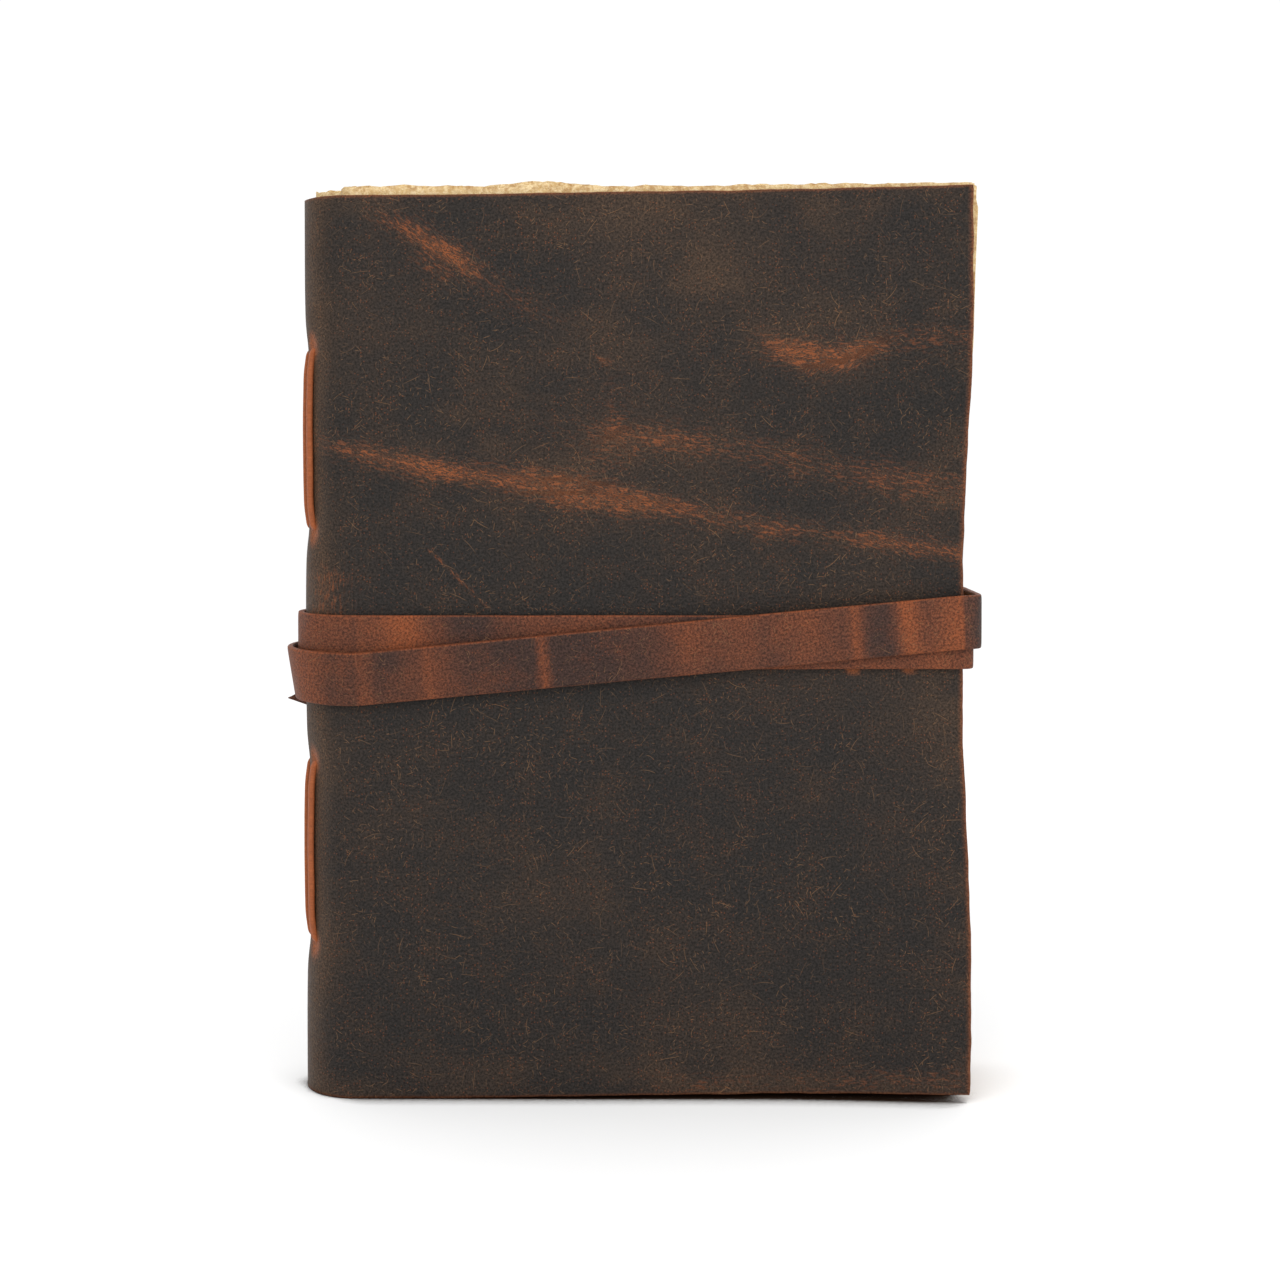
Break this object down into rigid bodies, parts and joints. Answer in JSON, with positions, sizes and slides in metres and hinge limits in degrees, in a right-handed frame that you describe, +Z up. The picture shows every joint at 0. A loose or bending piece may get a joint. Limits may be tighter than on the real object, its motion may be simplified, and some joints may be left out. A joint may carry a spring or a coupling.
{
  "type": "leather journal",
  "caption": "Soft leather journal cover, half-round spine laced to sewn signatures of handmade paper, closed by a wraparound leather strap.",
  "frame": {"origin": "under the middle of the whole object, on the surface it stands on", "axes": "+Z up the book from tail to head, spine towards -X, fore-edge towards +X, front cover facing -Y"},
  "size_m": [0.161, 0.036, 0.2055],
  "materials": {
    "cover_leather": "oiled pull-up leather, rubbed and scratched",
    "strap_leather": "oiled pull-up leather, red-brown",
    "lacing_leather": "tan leather thong",
    "handmade_paper": "rough handmade rag paper, torn edges"
  },
  "bodies": {
    "spine": {"spine": "cover_leather", "sig_2_sheet_1": "handmade_paper", "sig_2_sheet_2": "handmade_paper", "sig_2_sheet_3": "handmade_paper", "sig_2_sheet_4": "handmade_paper", "sig_2_sheet_5": "handmade_paper", "sig_2_sheet_6": "handmade_paper", "sig_2_sheet_7": "handmade_paper", "sig_2_sheet_8": "handmade_paper", "thong_1_upper_stitch": "lacing_leather", "thong_1_lower_stitch": "lacing_leather", "thong_2_upper_stitch": "lacing_leather", "thong_2_lower_stitch": "lacing_leather", "thong_3_upper_stitch": "lacing_leather", "thong_3_lower_stitch": "lacing_leather", "thong_2_inner_run": "lacing_leather"},
    "front_cover": {"front_cover": "cover_leather"},
    "back_cover": {"back_cover": "cover_leather"},
    "signature_1": {"sig_1_sheet_1": "handmade_paper", "sig_1_sheet_2": "handmade_paper", "sig_1_sheet_3": "handmade_paper", "sig_1_sheet_4": "handmade_paper", "sig_1_sheet_5": "handmade_paper", "sig_1_sheet_6": "handmade_paper", "sig_1_sheet_7": "handmade_paper", "sig_1_sheet_8": "handmade_paper", "thong_1_inner_run": "lacing_leather"},
    "signature_3": {"sig_3_sheet_1": "handmade_paper", "sig_3_sheet_2": "handmade_paper", "sig_3_sheet_3": "handmade_paper", "sig_3_sheet_4": "handmade_paper", "sig_3_sheet_5": "handmade_paper", "sig_3_sheet_6": "handmade_paper", "sig_3_sheet_7": "handmade_paper", "sig_3_sheet_8": "handmade_paper", "thong_3_inner_run": "lacing_leather"},
    "strap": {"strap": "strap_leather"}
  },
  "joints": [
    {"name": "front_cover_hinge", "type": "hinge", "parent": "spine", "child": "front_cover", "pos_m": [-0.06908, -0.00972, 0], "axis": [0, 0, -1], "range_deg": [0, 90], "deforming": ["strap"]},
    {"name": "back_cover_hinge", "type": "hinge", "parent": "spine", "child": "back_cover", "pos_m": [-0.06908, 0.00866, 0], "axis": [0, 0, 1], "range_deg": [0, 90]},
    {"name": "signature_1_hinge", "type": "hinge", "parent": "spine", "child": "signature_1", "pos_m": [-0.06005, -0.00781, 0], "axis": [0, 0, -1], "range_deg": [0, 81]},
    {"name": "signature_3_hinge", "type": "hinge", "parent": "spine", "child": "signature_3", "pos_m": [-0.06005, 0.00675, 0], "axis": [0, 0, 1], "range_deg": [0, 81]},
    {"name": "strap_slide", "type": "slide", "parent": "spine", "child": "strap", "axis": [0, 0, 1], "range_m": [0, 0.14]}
  ],
  "couplings": [
    {"joint": "back_cover_hinge", "follows": "front_cover_hinge", "ratio": 1},
    {"joint": "signature_1_hinge", "follows": "front_cover_hinge", "ratio": 0.9},
    {"joint": "signature_3_hinge", "follows": "front_cover_hinge", "ratio": 0.9},
    {"joint": "strap_slide", "follows": "front_cover_hinge", "m_per_rad": 0.089}
  ]
}
